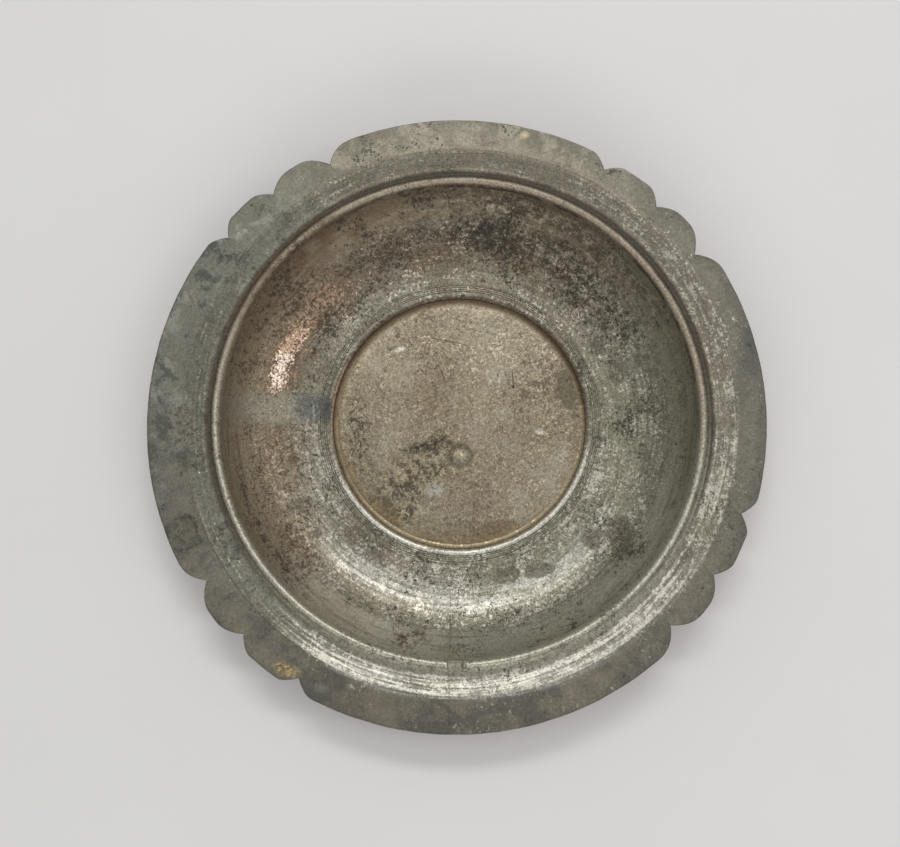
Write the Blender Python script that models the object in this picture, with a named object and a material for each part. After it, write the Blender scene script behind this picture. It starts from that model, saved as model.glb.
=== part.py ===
"""Scalloped tinned-copper paten plate.

The plate lies on its base with the open side up, +Z along the turned axis.
A flat base disc is let into a raised bowl wall and run round with spelter.
The wall turns out into a lip that carries a flat, hand-cut scalloped flange.
A half-round bead covers the joint, and a radial seam closes wall and flange.
"""

import math

import bmesh
import bpy

MM = 0.001

# Sheet and joints
SHEET = 0.9 * MM
GAP = 0.3 * MM
SEGMENTS = 96

# Base disc and the spelter run round it
DISC_RADIUS = 51.4 * MM
DISC_THICKNESS = 1.2 * MM
SPELTER_WIDTH = 1.0 * MM
SPELTER_HEIGHT = 2.1 * MM

# Bowl wall: upright step, ledge, rising curve and outward lip
STEP_RADIUS = DISC_RADIUS + SPELTER_WIDTH + 2.0 * GAP
LEDGE_RADIUS = 55.2 * MM
LEDGE_HEIGHT = 3.0 * MM
WALL_TOP_RADIUS = 97.3 * MM
WALL_SLOPE_START = math.radians(3.0)
WALL_SLOPE_END = math.radians(60.0)
WALL_SLOPE_POWER = 2.0
WALL_STATIONS = 11
LIP_RADIUS = 101.6 * MM
LIP_RISE = 0.8 * MM

# Flange
FLANGE_HOLE_RADIUS = 97.8 * MM
GROOVE_RADIUS = 102.2 * MM
SCRIBE_RADIUS = 111.8 * MM
RIM_RADIUS = 125.0 * MM
RIM_CENTRE_X = -1.4 * MM
RIM_CENTRE_Y = -0.7 * MM
GROOVE_SHOULDER = 1.8 * MM
GROOVE_SHOULDER_RISE = 0.2 * MM
UPSLOPE_RISE = 2.2 * MM
FLANGE_RISE = 2.8 * MM
EDGE_ROUND = 0.3 * MM

# Scallops: three notches to a group, one group to each corner
NOTCH_GROUPS = (
    (34.1, 46.2, 58.9),
    (116.0, 128.8, 141.2),
    (213.5, 226.0, 239.4),
    (315.6, 328.2, 340.9),
)
NOTCH_DEPTHS = (6.5 * MM, 4.8 * MM, 4.8 * MM)
SHOULDERS = (
    (5.5, 2.0, 5.0, 2.0),
    (3.6, 1.6, 3.4, 1.6),
    (3.6, 1.6, 5.6, 2.2),
)
SHOULDER_STEPS = (0.0, 0.14, 0.32, 0.58, 1.0)
RIM_STEP_MAX = 4.5

# Bead
BEAD_RADIUS = 99.15 * MM
BEAD_HALF_WIDTH = 2.25 * MM
BEAD_HEIGHT = 1.5 * MM
BEAD_ARC_STEPS = 8
BEAD_BREAK_X = -1.4 * MM
BEAD_BREAK_WIDTH = 6.0 * MM

# Radial seam, run full of solder
SEAM_X = -4.0 * MM
SEAM_WIDTH = 1.2 * MM
SOLDER_FILLET = 1.3 * MM


def clear_scene():
    for obj in list(bpy.data.objects):
        bpy.data.objects.remove(obj, do_unlink=True)


def metal(name, colour, roughness, metallic=1.0):
    material = bpy.data.materials.new(name)
    material.use_nodes = True
    shader = material.node_tree.nodes["Principled BSDF"]
    shader.inputs["Base Color"].default_value = (*colour, 1.0)
    shader.inputs["Roughness"].default_value = roughness
    shader.inputs["Metallic"].default_value = metallic
    return material


def add_object(name, vertices, faces, material, smooth=True):
    mesh = bpy.data.meshes.new(name)
    mesh.from_pydata(vertices, [], faces)
    shell = bmesh.new()
    shell.from_mesh(mesh)
    bmesh.ops.recalc_face_normals(shell, faces=shell.faces)
    shell.to_mesh(mesh)
    shell.free()
    mesh.polygons.foreach_set("use_smooth", [smooth] * len(mesh.polygons))
    mesh.materials.append(material)
    obj = bpy.data.objects.new(name, mesh)
    bpy.context.collection.objects.link(obj)
    return obj


def closed_ring(name, section, material):
    """Turn a closed (radius, height) section through a full circle."""
    count = len(section)
    vertices = []
    for step in range(SEGMENTS):
        angle = math.tau * step / SEGMENTS
        for radius, height in section:
            vertices.append((radius * math.cos(angle), radius * math.sin(angle), height))
    faces = []
    for step in range(SEGMENTS):
        here = step * count
        there = (step + 1) % SEGMENTS * count
        for i in range(count):
            j = (i + 1) % count
            faces.append((here + i, here + j, there + j, there + i))
    return add_object(name, vertices, faces, material)


def bridge_rows(name, rows, material):
    """Join equal closed sections in order and cap the first and the last."""
    count = len(rows[0])
    vertices = [point for row in rows for point in row]
    faces = [tuple(range(count))]
    for k in range(len(rows) - 1):
        here = k * count
        there = here + count
        for i in range(count):
            j = (i + 1) % count
            faces.append((here + i, here + j, there + j, there + i))
    last = (len(rows) - 1) * count
    faces.append(tuple(last + i for i in range(count)))
    return add_object(name, vertices, faces, material)


def side_angle(radius, x):
    """Angle at which a circle passes a line parallel to Y on the -Y side."""
    return 1.5 * math.pi + math.asin(x / radius)


def open_ring(name, section, gap_x, gap_width, material):
    """Turn a section round from one side of a straight-sided gap to the other."""
    rows = []
    for step in range(SEGMENTS + 1):
        share = step / SEGMENTS
        row = []
        for radius, height in section:
            start = side_angle(radius, gap_x + gap_width / 2.0)
            end = side_angle(radius, gap_x - gap_width / 2.0) + math.tau
            angle = start + (end - start) * share
            row.append((radius * math.cos(angle), radius * math.sin(angle), height))
        rows.append(row)
    return bridge_rows(name, rows, material)


def seam_strip(name, section, width, material):
    """Extrude a (radius, height) section across the seam line on the -Y side."""
    rows = []
    for x in (SEAM_X - width / 2.0, SEAM_X + width / 2.0):
        rows.append([(x, -radius, height) for radius, height in section])
    return bridge_rows(name, rows, material)


def wall_curve():
    """Inner face of the wall above its ledge, steepening as it rises."""
    fine = 400
    slopes = []
    for i in range(fine):
        share = ((i + 0.5) / fine) ** WALL_SLOPE_POWER
        slopes.append(WALL_SLOPE_START + (WALL_SLOPE_END - WALL_SLOPE_START) * share)
    reach = sum(math.cos(slope) for slope in slopes)
    step = (WALL_TOP_RADIUS - LEDGE_RADIUS) / reach
    points = [(LEDGE_RADIUS, LEDGE_HEIGHT)]
    radius = LEDGE_RADIUS
    height = LEDGE_HEIGHT
    for i, slope in enumerate(slopes):
        radius += step * math.cos(slope)
        height += step * math.sin(slope)
        if (i + 1) % (fine // (WALL_STATIONS - 1)) == 0:
            points.append((radius, height))
    return points


def offset_below(line, distance):
    """Move an open (radius, height) line down its own normals."""
    result = []
    for i, (radius, height) in enumerate(line):
        r0, z0 = line[max(i - 1, 0)]
        r1, z1 = line[min(i + 1, len(line) - 1)]
        length = math.hypot(r1 - r0, z1 - z0)
        result.append((radius + distance * (z1 - z0) / length, height - distance * (r1 - r0) / length))
    return result


def lip_height():
    return wall_curve()[-1][1] + LIP_RISE


def flange_level():
    return lip_height() + GAP + SHEET


def wall_section():
    curve = wall_curve()
    top = curve[-1][1]
    step = [
        (STEP_RADIUS, 0.0),
        (STEP_RADIUS, LEDGE_HEIGHT - 0.7 * MM),
        (STEP_RADIUS + 0.45 * MM, LEDGE_HEIGHT - 0.15 * MM),
    ]
    lip = [
        (WALL_TOP_RADIUS + 0.5 * MM, top + 0.6 * MM),
        (WALL_TOP_RADIUS + 1.2 * MM, top + LIP_RISE),
        (LIP_RADIUS, top + LIP_RISE),
    ]
    under_lip = [
        (LIP_RADIUS, top + LIP_RISE - SHEET),
        (WALL_TOP_RADIUS + 1.7 * MM, top + LIP_RISE - SHEET),
    ]
    under = offset_below(curve, SHEET)
    under[0] = (LEDGE_RADIUS + 0.5 * MM, LEDGE_HEIGHT - SHEET)
    foot = [
        (STEP_RADIUS + SHEET, LEDGE_HEIGHT - SHEET - 0.5 * MM),
        (STEP_RADIUS + SHEET, 0.0),
    ]
    return step + curve + lip + under_lip + under[::-1] + foot


def bead_section(base):
    points = []
    for i in range(BEAD_ARC_STEPS + 1):
        angle = math.pi * i / BEAD_ARC_STEPS
        radius = BEAD_RADIUS - BEAD_HALF_WIDTH * math.cos(angle)
        points.append((radius, base + BEAD_HEIGHT * math.sin(angle)))
    return points


def shoulder_drop(distance, width, power):
    """How far the outline still lies inside the rim circle near a notch."""
    if distance >= width:
        return 0.0
    return (1.0 - distance / width) ** power


def lobes():
    """Each lobe as start, end, notch depths and shoulder shapes, in order."""
    result = []
    for g, group in enumerate(NOTCH_GROUPS):
        following = NOTCH_GROUPS[(g + 1) % len(NOTCH_GROUPS)][0]
        last = following if following > group[2] else following + 360.0
        ends = (group[1], group[2], last)
        for k in range(3):
            depths = (NOTCH_DEPTHS[k], NOTCH_DEPTHS[(k + 1) % 3])
            result.append((group[k], ends[k], depths, SHOULDERS[k]))
    return result


def lobe_stations(lobe):
    """Angles and radii along one lobe, from its first notch up to its second."""
    start, end, depths, (low_width, low_power, high_width, high_power) = lobe
    angles = [start + low_width * step for step in SHOULDER_STEPS]
    first = angles[-1]
    last = end - high_width
    pieces = max(1, math.ceil((last - first) / RIM_STEP_MAX))
    angles += [first + (last - first) * i / pieces for i in range(1, pieces)]
    angles += [end - high_width * step for step in SHOULDER_STEPS[:0:-1]]
    stations = []
    for angle in angles:
        low = depths[0] * shoulder_drop(angle - start, low_width, low_power)
        high = depths[1] * shoulder_drop(end - angle, high_width, high_power)
        stations.append((angle, RIM_RADIUS - low - high))
    return stations


def rim_stations():
    """The whole outline, cut at the seam and listed once round from it."""
    stations = [station for lobe in lobes() for station in lobe_stations(lobe)]
    seam = math.degrees(side_angle(RIM_RADIUS, SEAM_X - RIM_CENTRE_X))
    clear = 2.0
    turned = []
    for angle, radius in stations:
        past = (angle - seam) % 360.0
        if clear < past < 360.0 - clear:
            turned.append((seam + past, radius))
    return sorted(turned)


def flange_profile():
    """Top face of the flange as (radius, share of the way to the outline, height)."""
    level = flange_level()
    return [
        (FLANGE_HOLE_RADIUS, 0.0, level),
        (GROOVE_RADIUS, 0.0, level),
        (GROOVE_RADIUS + GROOVE_SHOULDER, 0.0, level + GROOVE_SHOULDER_RISE),
        (SCRIBE_RADIUS, 0.0, level + UPSLOPE_RISE),
        (SCRIBE_RADIUS, 1.0, level + FLANGE_RISE),
    ]


def flange_row(angle, outline, seam_x=None):
    """Section of the flange at one station, closed round its edge."""
    row = []
    profile = flange_profile()
    for radius, share, height in profile:
        row.append((flange_point(radius, share, angle, outline, seam_x), height))
    inset = outline - EDGE_ROUND
    top = row.pop()
    edge = flange_point(SCRIBE_RADIUS, 1.0, angle, inset, seam_x)
    row.append((edge, top[1]))
    row.append((top[0], top[1] - EDGE_ROUND))
    row.append((top[0], top[1] - SHEET + EDGE_ROUND))
    row.append((edge, top[1] - SHEET))
    for radius, share, height in profile[-2::-1]:
        row.append((flange_point(radius, share, angle, outline, seam_x), height - SHEET))
    return [(x, y, z) for (x, y), z in row]


def flange_point(radius, share, angle, outline, seam_x):
    """Point on a turned circle, or on the outline about the rim's own centre."""
    if share > 0.0:
        turn = angle if seam_x is None else side_angle(outline, seam_x - RIM_CENTRE_X)
        x = RIM_CENTRE_X + outline * math.cos(turn)
        y = RIM_CENTRE_Y + outline * math.sin(turn)
        return x, y
    turn = angle if seam_x is None else side_angle(radius, seam_x)
    return radius * math.cos(turn), radius * math.sin(turn)


def build_flange(material):
    half = (SEAM_WIDTH + 2.0 * GAP) / 2.0
    rows = [flange_row(0.0, RIM_RADIUS, SEAM_X + half)]
    for angle, radius in rim_stations():
        rows.append(flange_row(math.radians(angle), radius))
    rows.append(flange_row(0.0, RIM_RADIUS, SEAM_X - half))
    return bridge_rows("rim_flange", rows, material)


def build_base(material):
    section = [(DISC_RADIUS, 0.0), (DISC_RADIUS, DISC_THICKNESS)]
    rows = []
    for radius, height in section:
        row = []
        for step in range(SEGMENTS):
            angle = math.tau * step / SEGMENTS
            row.append((radius * math.cos(angle), radius * math.sin(angle), height))
        rows.append(row)
    return bridge_rows("base_disc", rows, material)


def build_base_spelter(material):
    inner = DISC_RADIUS + GAP
    outer = inner + SPELTER_WIDTH
    foot = GAP / 3.0
    section = [
        (inner, foot),
        (outer, foot),
        (outer, SPELTER_HEIGHT),
        (outer - 0.4 * SPELTER_WIDTH, SPELTER_HEIGHT - 0.08 * MM),
        (outer - 0.8 * SPELTER_WIDTH, SPELTER_HEIGHT - 0.45 * MM),
        (inner, DISC_THICKNESS + 0.1 * MM),
    ]
    return closed_ring("base_spelter_ring", section, material)


def build_wall(material):
    width = SEAM_WIDTH + 2.0 * GAP
    return open_ring("bowl_wall", wall_section(), SEAM_X, width, material)


def build_wall_seam(material):
    return seam_strip("wall_seam_spelter", wall_section(), SEAM_WIDTH, material)


def build_bead(material):
    section = bead_section(flange_level() + GAP)
    return open_ring("bead_ring", section, BEAD_BREAK_X, BEAD_BREAK_WIDTH, material)


def build_rim_seam(material):
    half = SEAM_WIDTH / 2.0
    rows = [flange_row(0.0, RIM_RADIUS, SEAM_X - half), flange_row(0.0, RIM_RADIUS, SEAM_X + half)]
    return bridge_rows("rim_seam_solder", rows, material)


def build_rim_solder(material):
    """Fillet run under the flange, outside the wall's lip."""
    inner = LIP_RADIUS + GAP
    roof = flange_level() - SHEET - GAP
    section = [
        (inner, roof),
        (inner, roof - SOLDER_FILLET),
        (inner + 0.35 * SOLDER_FILLET, roof - 0.45 * SOLDER_FILLET),
        (inner + SOLDER_FILLET, roof),
    ]
    return closed_ring("rim_solder_ring", section, material)


def main():
    clear_scene()
    tinned_wall = metal("tinned_wall", (0.36, 0.34, 0.29), 0.42)
    tinned_flange = metal("tinned_flange", (0.40, 0.40, 0.38), 0.45)
    tinned_bead = metal("tinned_bead", (0.42, 0.41, 0.35), 0.38)
    tinned_base = metal("tinned_base", (0.38, 0.35, 0.30), 0.55)
    spelter = metal("brass_spelter", (0.50, 0.34, 0.14), 0.45)
    solder = metal("tin_solder", (0.44, 0.44, 0.42), 0.50)
    build_base(tinned_base)
    build_base_spelter(spelter)
    build_wall(tinned_wall)
    build_wall_seam(spelter.copy())
    build_flange(tinned_flange)
    build_rim_seam(solder)
    build_rim_solder(solder.copy())
    build_bead(tinned_bead)


main()
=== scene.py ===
"""Scalloped tinned-copper paten plate: the detailed visual model, its light and its camera.

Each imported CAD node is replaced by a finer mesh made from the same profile.
The materials work in plate coordinates: millimetres from the turned axis.
"""

import math

import bpy
import numpy as np
from mathutils import Matrix, Vector, noise


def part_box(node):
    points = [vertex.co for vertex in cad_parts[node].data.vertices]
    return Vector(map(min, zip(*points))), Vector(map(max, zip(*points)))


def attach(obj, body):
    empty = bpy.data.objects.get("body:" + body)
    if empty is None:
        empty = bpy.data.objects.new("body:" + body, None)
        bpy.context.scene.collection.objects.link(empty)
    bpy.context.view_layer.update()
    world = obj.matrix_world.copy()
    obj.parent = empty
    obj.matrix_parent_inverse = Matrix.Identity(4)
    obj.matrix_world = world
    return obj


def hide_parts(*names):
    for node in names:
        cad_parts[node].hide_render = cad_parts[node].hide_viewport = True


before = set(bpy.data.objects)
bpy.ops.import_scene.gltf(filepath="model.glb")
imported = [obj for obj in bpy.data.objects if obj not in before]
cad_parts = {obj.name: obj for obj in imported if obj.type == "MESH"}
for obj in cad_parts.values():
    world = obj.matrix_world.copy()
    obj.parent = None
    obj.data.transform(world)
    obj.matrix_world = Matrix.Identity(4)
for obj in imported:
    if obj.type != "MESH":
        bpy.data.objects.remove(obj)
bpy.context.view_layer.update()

MM = 0.001
SHARP_TURN = math.radians(48)

# ---------------------------------------------------------------- plate sizes, in millimetres

BOX = {node: [[c * 1000 for c in corner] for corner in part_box(node)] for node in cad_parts}
DISC_RADIUS = BOX["base_disc"][1][0]
DISC_TOP = BOX["base_disc"][1][2]
LIP_TOP = BOX["bowl_wall"][1][2]
LIP_RADIUS = BOX["bowl_wall"][1][0]
BEAD_OUTER = BOX["bead_ring"][1][0]
FLANGE_UNDER = BOX["rim_flange"][0][2]
RIM_TOP = BOX["rim_flange"][1][2]

SHEET = 0.9
LEVEL = FLANGE_UNDER + SHEET
STEP_RADIUS = DISC_RADIUS + 1.6
STEP_FOOT = 1.2
LEDGE_RADIUS = 55.2
LEDGE_HEIGHT = 3
WALL_TOP_RADIUS = 97.3
WALL_TOP = LIP_TOP - 0.8
WALL_SLOPES = (math.radians(3), math.radians(60))
TURNED_LINES = (56.3, 57.1, 57.9, 58.8)

HOLE_RADIUS = 97.8
GROOVE_RADIUS = 102.2
SCRIBE_RADIUS = 111.8
RIM_RADIUS = 125
RIM_CENTRE = (-1.4, -0.7)
UPSLOPE = math.tan(math.radians(15))
TURNED_END = 113.4
NOTCH_GROUPS = (
    (34.1, 46.2, 58.9),
    (116, 128.8, 141.2),
    (213.5, 226, 239.4),
    (315.6, 328.2, 340.9),
)
NOTCH_DEPTHS = (6.5, 4.8, 4.8)
NOTCH_STEPS = (0.12, 0.26, 0.45, 0.7, 1)
SHOULDERS = (
    (5.5, 2, 5, 2),
    (3.6, 1.6, 3.4, 1.6),
    (3.6, 1.6, 5.6, 2.2),
)
# Inset from the outline and drop below the top, round the cut edge of the sheet
EDGE_ROUNDING = ((0.35, 0), (0.1, 0.08), (0, 0.3), (0, 0.62), (0.12, 0.84), (0.35, 0.9))

BEAD_HALF_WIDTH = 2.25
BEAD_RADIUS = BEAD_OUTER - BEAD_HALF_WIDTH
BEAD_BREAK = (-4.4, 1.6)

SEAM_X = -4
SEAM_HALF = 0.35
SEAM_LINE = -3.6

# Marks: the disc's dents, and the blank worn patch on the flange with its turned axes
RING_DENT = (0.4, -14.5)
SMALL_DENTS = ((31, 9.5, 1.3, 0.12), (-20, 27, 2.4, 0.12), (23, -27, 3, 0.1))
PATCH_CENTRE = (-110.4, -47.6)
PATCH_TURN = (0.92, 0.39)

# Steps round the plate, and rings of the disc
BOWL_STEPS = 520
DISC_STEPS = 220
DISC_RINGS = 66
SPELTER_STEPS = 540
SOLDER_STEPS = 360
BEAD_STEPS = 560


# ---------------------------------------------------------------- shape helpers

def smooth(value, low, high):
    share = min(max((value - low) / (high - low), 0), 1)
    return share * share * (3 - 2 * share)


def ripple(x, y, size, seed):
    """Smooth noise between about -1 and 1 with features of the given size."""
    return noise.noise(Vector((x / size + seed, y / size - seed, 0.5 * seed)))


def side_angle(radius, x):
    """Angle at which a circle passes a line parallel to Y on the -Y side."""
    return 1.5 * math.pi + math.asin(x / radius)


def even_shares(count, seam_count=24, seam_share=0.012):
    """Shares of the way round from one side of the seam to the other, closer near it."""
    near = [seam_share * i / seam_count for i in range(seam_count)]
    middle = [seam_share + (1 - 2 * seam_share) * i / count for i in range(count + 1)]
    return near + middle + [1 - value for value in reversed(near)]


def seam_lap(x, y, height, end):
    """Slight rise of the sheet just to the right of the seam, gone again at x = end."""
    if y >= 0:
        return 0
    return height * smooth(x, SEAM_X - 0.2, SEAM_X + 0.8) * (1 - smooth(x, 1, end))


def seam_proud(side):
    """How far a filed seam still stands up, from its middle (0) to its edges (-1 and 1)."""
    return 0.012 if abs(side) < 0.7 else 0.004


def patch_place(x, y):
    """Position along the worn patch's own axes, for numbers and for shader values."""
    dx, dy = x - PATCH_CENTRE[0], y - PATCH_CENTRE[1]
    c, s = PATCH_TURN
    return dx * c + dy * s, dy * c - dx * s


def ring_rows(steps, section_at):
    """Sections of a closed ring, where section_at gives radii and heights for a direction."""
    rows = []
    for k in range(steps):
        angle = math.tau * k / steps
        c, s = math.cos(angle), math.sin(angle)
        rows.append([(r * c, r * s, z) for r, z in section_at(c, s)])
    return rows


def make_object(name, vertices, faces, materials, indices):
    mesh = bpy.data.meshes.new(name)
    mesh.from_pydata([tuple(c * MM for c in v) for v in vertices], [], faces)
    for material in materials:
        mesh.materials.append(material)
    mesh.polygons.foreach_set("material_index", indices)
    mesh.polygons.foreach_set("use_smooth", [True] * len(faces))
    mesh.validate()
    mesh.set_sharp_from_angle(angle=SHARP_TURN)
    mesh.update()
    obj = bpy.data.objects.new(name, mesh)
    bpy.context.collection.objects.link(obj)
    return obj


def loft(name, rows, materials, under_from=None, closed=False, flip=False):
    """Join equal closed sections, cap open ends, and give the underside its own slot."""
    count = len(rows[0])
    vertices = [point for row in rows for point in row]
    faces = []
    indices = []
    last = len(rows) if closed else len(rows) - 1
    for k in range(last):
        here = k * count
        there = (k + 1) % len(rows) * count
        for i in range(count):
            j = (i + 1) % count
            face = (here + i, there + i, there + j, here + j)
            faces.append(face[::-1] if flip else face)
            indices.append(1 if under_from is not None and i >= under_from else 0)
    if not closed:
        end = (len(rows) - 1) * count
        caps = (tuple(range(count)), tuple(end + i for i in reversed(range(count))))
        for cap in caps:
            faces.append(cap[::-1] if flip else cap)
            indices.append(0)
    return make_object(name, vertices, faces, materials, indices)


# ---------------------------------------------------------------- profiles

def step_and_ledge():
    """Inner face from the foot beside the disc up the rounded step and over the turned lines."""
    line = [(STEP_RADIUS, 0), (STEP_RADIUS, STEP_FOOT * 0.5)]
    steps = 12
    for i in range(steps):
        turn = 0.5 * math.pi * i / steps
        radius = LEDGE_RADIUS - (LEDGE_RADIUS - STEP_RADIUS) * math.cos(turn)
        line.append((radius, STEP_FOOT + (LEDGE_HEIGHT - STEP_FOOT) * math.sin(turn)))
    return line


def turned_cut(radius):
    """Depth of the fine lines turned into the ledge."""
    depth = 0
    for k, middle in enumerate(TURNED_LINES):
        reach = abs(radius - middle) / 0.26
        if reach < 1:
            depth += (0.13 if k != 2 else 0.07) * (1 - reach)
    return depth


def wall_curve(stations):
    """Inner face above the ledge, steepening as it rises to the lip."""
    fine = 600
    low, high = WALL_SLOPES
    slopes = [low + (high - low) * ((i + 0.5) / fine) ** 2 for i in range(fine)]
    reach = (WALL_TOP_RADIUS - LEDGE_RADIUS) / sum(math.cos(s) for s in slopes)
    radius, height = LEDGE_RADIUS, LEDGE_HEIGHT
    points = [(radius, height)]
    for slope in slopes:
        radius += reach * math.cos(slope)
        height += reach * math.sin(slope)
        points.append((radius, height))
    rise = (WALL_TOP - LEDGE_HEIGHT) / (points[-1][1] - LEDGE_HEIGHT)
    radii = [r for r, _ in points]
    heights = [LEDGE_HEIGHT + (z - LEDGE_HEIGHT) * rise for _, z in points]
    return [(r, float(np.interp(r, radii, heights))) for r in stations]


def bowl_line():
    ledge = [LEDGE_RADIUS + 0.13 * i for i in range(34)]
    rest = list(np.linspace(ledge[-1] + 0.4, WALL_TOP_RADIUS, 46))
    curve = [(r, z - turned_cut(r)) for r, z in wall_curve(ledge + rest)]
    lip = [
        (WALL_TOP_RADIUS + 0.3, WALL_TOP + 0.45),
        (WALL_TOP_RADIUS + 0.9, WALL_TOP + 0.74),
        (WALL_TOP_RADIUS + 1.6, LIP_TOP),
        (LIP_RADIUS - 0.1, LIP_TOP),
    ]
    return step_and_ledge() + curve + lip


def bowl_underside():
    """From the lip's outer edge back down to the foot."""
    radii = list(np.linspace(WALL_TOP_RADIUS, LEDGE_RADIUS + 1.5, 26))
    curve = wall_curve(sorted(radii))[::-1]
    line = [(LIP_RADIUS - 0.1, LIP_TOP - SHEET), (WALL_TOP_RADIUS + 1.9, LIP_TOP - SHEET)]
    for i, (radius, height) in enumerate(curve):
        r0, z0 = curve[max(i - 1, 0)]
        r1, z1 = curve[min(i + 1, len(curve) - 1)]
        length = math.hypot(r0 - r1, z0 - z1)
        line.append((radius + SHEET * (z0 - z1) / length, height - SHEET * (r0 - r1) / length))
    line += [
        (LEDGE_RADIUS + 0.6, LEDGE_HEIGHT - SHEET - 0.05),
        (STEP_RADIUS + SHEET + 0.25, STEP_FOOT + 0.1),
        (STEP_RADIUS + SHEET, 0.25),
        (STEP_RADIUS + SHEET - 0.25, 0),
    ]
    return line


# ---------------------------------------------------------------- pieces

def bowl_shift(x, y, radius):
    """Small hand-made unevenness of the wall, nothing at its foot and its lip."""
    hold = smooth(radius, 54, 64) * (1 - smooth(radius, 95.5, 97.3))
    swell = 0.16 * ripple(x, y, 34, 3.1) + 0.1 * ripple(x, y, 13, 8.7)
    return hold * (swell + seam_lap(x, y, 0.08, 7) * smooth(radius, 60, 80))


def build_bowl(top, under):
    upper = bowl_line()
    section = upper + bowl_underside()
    rows = []
    for share in even_shares(BOWL_STEPS):
        row = []
        for radius, height in section:
            start = side_angle(radius, SEAM_X + SEAM_HALF)
            end = side_angle(radius, SEAM_X - SEAM_HALF) + math.tau
            angle = start + (end - start) * share
            x, y = radius * math.cos(angle), radius * math.sin(angle)
            row.append((x, y, height + bowl_shift(x, y, radius)))
        rows.append(row)
    return loft("bowl_shell", rows, (top, under), under_from=len(upper) - 1)


def build_bowl_seam(material):
    """Spelter that fills the wall's seam, filed flush, with an uneven width."""
    upper = bowl_line()
    section = upper + bowl_underside()
    rows = []
    for side in (-1, -0.45, 0.45, 1):
        row = []
        proud = seam_proud(side)
        for radius, height in section:
            wide = SEAM_HALF + 0.06 + 0.1 * abs(ripple(0, radius, 3.5, 1.7))
            x = SEAM_X + side * wide
            y = -math.sqrt(radius * radius - x * x)
            row.append((x, y, height + bowl_shift(x, y, radius) + proud))
        rows.append(row)
    return loft("bowl_seam_filling", rows, (material,), flip=True)


def disc_height(x, y):
    """Top of the base disc: gently uneven, with one ringed dent and a few small ones."""
    swell = 0.1 * ripple(x, y, 27, 5) + 0.05 * ripple(x, y, 9, 2)
    reach = math.hypot(x - RING_DENT[0], y - RING_DENT[1])
    dent = -0.3 * math.exp(-((reach - 4.2) / 1.5) ** 2) + 0.16 * math.exp(-(reach / 1.6) ** 2)
    for dx, dy, size, depth in SMALL_DENTS:
        dent -= depth * math.exp(-((x - dx) ** 2 + (y - dy) ** 2) / size ** 2)
    return swell + dent


def build_disc(top, under):
    rings = list(np.linspace(0.4, DISC_RADIUS, DISC_RINGS))
    around = DISC_STEPS
    vertices = [(0, 0, DISC_TOP + disc_height(0, 0))]
    for radius in rings:
        for k in range(around):
            angle = math.tau * k / around
            x, y = radius * math.cos(angle), radius * math.sin(angle)
            hold = 1 - smooth(radius, DISC_RADIUS - 4, DISC_RADIUS)
            vertices.append((x, y, DISC_TOP + hold * disc_height(x, y)))
    lower = [(DISC_RADIUS, 0.15), (DISC_RADIUS - 0.15, 0), (DISC_RADIUS * 0.5, 0)]
    for radius, height in lower:
        for k in range(around):
            angle = math.tau * k / around
            vertices.append((radius * math.cos(angle), radius * math.sin(angle), height))
    vertices.append((0, 0, 0))
    faces = [(0, 1 + k, 1 + (k + 1) % around) for k in range(around)]
    indices = [0] * around
    total = len(rings) + len(lower)
    for ring in range(total - 1):
        here = 1 + ring * around
        for k in range(around):
            j = (k + 1) % around
            faces.append((here + k, here + around + k, here + around + j, here + j))
            indices.append(0 if ring < len(rings) - 1 else 1)
    end = 1 + (total - 1) * around
    for k in range(around):
        faces.append((end + k, len(vertices) - 1, end + (k + 1) % around))
        indices.append(1)
    return make_object("centre_disc", vertices, faces, (top, under), indices)


def build_disc_spelter(material):
    """Uneven run of spelter in the corner between the disc and the step."""
    def section_at(c, s):
        x, y = c * 50, s * 50
        run = 0.4 * ripple(x, y, 9, 6.2) + 0.15 * ripple(x, y, 2.2, 1.1)
        inner = DISC_RADIUS - 0.1 - max(run, -0.1)
        return [
            (inner, DISC_TOP - 0.06),
            (inner + 0.3, DISC_TOP + 0.03),
            (inner + 0.75, DISC_TOP + 0.1),
            (STEP_RADIUS - 0.75, DISC_TOP + 0.22 + 0.1 * run),
            (STEP_RADIUS - 0.4, DISC_TOP + 0.42 + 0.2 * run),
            (STEP_RADIUS - 0.15, DISC_TOP + 0.68 + 0.2 * run),
            (STEP_RADIUS + 0.1, DISC_TOP + 1.02 + 0.2 * run),
            (STEP_RADIUS + 0.14, 0.12),
            (DISC_RADIUS + 0.02, 0.1),
        ]

    return loft("disc_spelter_run", ring_rows(SPELTER_STEPS, section_at), (material,), closed=True)


def shoulder_drop(distance, width, power):
    return (1 - distance / width) ** power if distance < width else 0


def rim_outline(angle):
    """Radius of the hand-cut edge about the rim's own centre, angle in degrees."""
    notches = [a for group in NOTCH_GROUPS for a in group]
    angle %= 360
    for k, start in enumerate(notches):
        end = notches[(k + 1) % len(notches)]
        end += 360 if end < start else 0
        here = angle + (360 if angle < notches[0] and k == len(notches) - 1 else 0)
        if start <= here < end:
            low_width, low_power, high_width, high_power = SHOULDERS[k % 3]
            low = NOTCH_DEPTHS[k % 3] * shoulder_drop(here - start, low_width, low_power)
            high = NOTCH_DEPTHS[(k + 1) % 3] * shoulder_drop(end - here, high_width, high_power)
            return RIM_RADIUS - low - high
    return RIM_RADIUS


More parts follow.
